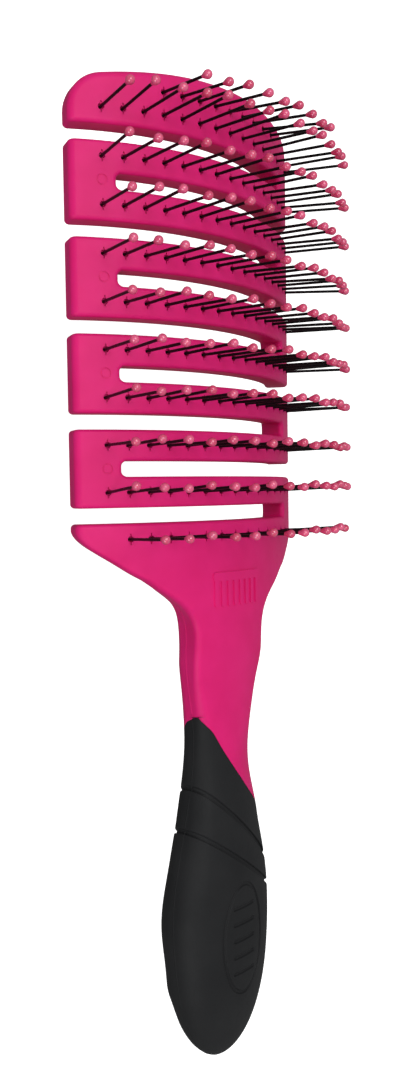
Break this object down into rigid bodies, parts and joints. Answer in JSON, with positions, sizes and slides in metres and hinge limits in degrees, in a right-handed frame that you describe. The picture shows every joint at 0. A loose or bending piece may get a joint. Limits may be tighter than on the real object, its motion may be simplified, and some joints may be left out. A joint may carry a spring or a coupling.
{
  "type": "vented flexible hairbrush",
  "caption": "Vented paddle hairbrush with a slotted, bending head, ball-tipped nylon filaments and a soft grip.",
  "frame": {"origin": "under the middle of the brush's length and width, on the surface its back rests on", "axes": "+Y along the brush towards the tip of the head, +Z the way the filaments point, X across the head"},
  "size_m": [0.0844, 0.2461, 0.0371],
  "materials": {
    "pink_body": "satin",
    "soft_black": "matte",
    "black_nylon": "gloss",
    "tip_resin": "gloss"
  },
  "bodies": {
    "handle": {"base_and_core": "pink_body", "rear_strip_01": "pink_body", "filaments_01": "black_nylon", "ball_tips_01": "tip_resin", "soft_grip": "soft_black"},
    "bar_1": {"bar_01": "pink_body", "rear_strip_02": "pink_body", "filaments_02": "black_nylon", "ball_tips_02": "tip_resin", "flex_turn_01": "pink_body"},
    "bar_2": {"bar_02": "pink_body", "rear_strip_03": "pink_body", "filaments_03": "black_nylon", "ball_tips_03": "tip_resin", "flex_turn_02": "pink_body"},
    "bar_3": {"bar_03": "pink_body", "rear_strip_04": "pink_body", "filaments_04": "black_nylon", "ball_tips_04": "tip_resin", "flex_turn_03": "pink_body"},
    "bar_4": {"bar_04": "pink_body", "rear_strip_05": "pink_body", "filaments_05": "black_nylon", "ball_tips_05": "tip_resin", "flex_turn_04": "pink_body"},
    "bar_5": {"bar_05": "pink_body", "rear_strip_06": "pink_body", "filaments_06": "black_nylon", "ball_tips_06": "tip_resin", "flex_turn_05": "pink_body"},
    "bar_6": {"bar_06": "pink_body", "rear_strip_07": "pink_body", "filaments_07": "black_nylon", "ball_tips_07": "tip_resin", "flex_turn_06": "pink_body"},
    "bar_7": {"bar_07": "pink_body", "rear_strip_08": "pink_body", "filaments_08": "black_nylon", "ball_tips_08": "tip_resin", "flex_turn_07": "pink_body"},
    "bar_8": {"bar_08": "pink_body", "rear_strip_09": "pink_body", "filaments_09": "black_nylon", "ball_tips_09": "tip_resin", "flex_turn_08": "pink_body"},
    "top": {"top_bar": "pink_body", "rear_strip_10": "pink_body", "filaments_10": "black_nylon", "ball_tips_10": "tip_resin", "flex_turn_09": "pink_body"}
  },
  "joints": [
    {"name": "head_flex_1", "type": "hinge", "parent": "handle", "child": "bar_1", "pos_m": [0, 0.0185, 0.0055], "axis": [-1, 0, 0], "range_deg": [-2, 5], "stiffness_Nm_per_rad": 2, "deforming": ["flex_turn_01"]},
    {"name": "head_flex_2", "type": "hinge", "parent": "bar_1", "child": "bar_2", "pos_m": [0, 0.0295, 0.0055], "axis": [-1, 0, 0], "range_deg": [-2, 5], "stiffness_Nm_per_rad": 2, "deforming": ["flex_turn_02"]},
    {"name": "head_flex_3", "type": "hinge", "parent": "bar_2", "child": "bar_3", "pos_m": [0, 0.0405, 0.0055], "axis": [-1, 0, 0], "range_deg": [-2, 5], "stiffness_Nm_per_rad": 2, "deforming": ["flex_turn_03"]},
    {"name": "head_flex_4", "type": "hinge", "parent": "bar_3", "child": "bar_4", "pos_m": [0, 0.0515, 0.0055], "axis": [-1, 0, 0], "range_deg": [-2, 5], "stiffness_Nm_per_rad": 2, "deforming": ["flex_turn_04"]},
    {"name": "head_flex_5", "type": "hinge", "parent": "bar_4", "child": "bar_5", "pos_m": [0, 0.0625, 0.0055], "axis": [-1, 0, 0], "range_deg": [-2, 5], "stiffness_Nm_per_rad": 2, "deforming": ["flex_turn_05"]},
    {"name": "head_flex_6", "type": "hinge", "parent": "bar_5", "child": "bar_6", "pos_m": [0, 0.0735, 0.0055], "axis": [-1, 0, 0], "range_deg": [-2, 5], "stiffness_Nm_per_rad": 2, "deforming": ["flex_turn_06"]},
    {"name": "head_flex_7", "type": "hinge", "parent": "bar_6", "child": "bar_7", "pos_m": [0, 0.0845, 0.0055], "axis": [-1, 0, 0], "range_deg": [-2, 5], "stiffness_Nm_per_rad": 2, "deforming": ["flex_turn_07"]},
    {"name": "head_flex_8", "type": "hinge", "parent": "bar_7", "child": "bar_8", "pos_m": [0, 0.0955, 0.0055], "axis": [-1, 0, 0], "range_deg": [-2, 5], "stiffness_Nm_per_rad": 2, "deforming": ["flex_turn_08"]},
    {"name": "head_flex_9", "type": "hinge", "parent": "bar_8", "child": "top", "pos_m": [0, 0.1065, 0.0055], "axis": [-1, 0, 0], "range_deg": [-2, 5], "stiffness_Nm_per_rad": 2, "deforming": ["flex_turn_09"]}
  ],
  "couplings": [
    {"joint": "head_flex_2", "follows": "head_flex_1", "ratio": 1},
    {"joint": "head_flex_3", "follows": "head_flex_1", "ratio": 1},
    {"joint": "head_flex_4", "follows": "head_flex_1", "ratio": 1},
    {"joint": "head_flex_5", "follows": "head_flex_1", "ratio": 1},
    {"joint": "head_flex_6", "follows": "head_flex_1", "ratio": 1},
    {"joint": "head_flex_7", "follows": "head_flex_1", "ratio": 1},
    {"joint": "head_flex_8", "follows": "head_flex_1", "ratio": 1},
    {"joint": "head_flex_9", "follows": "head_flex_1", "ratio": 1}
  ]
}
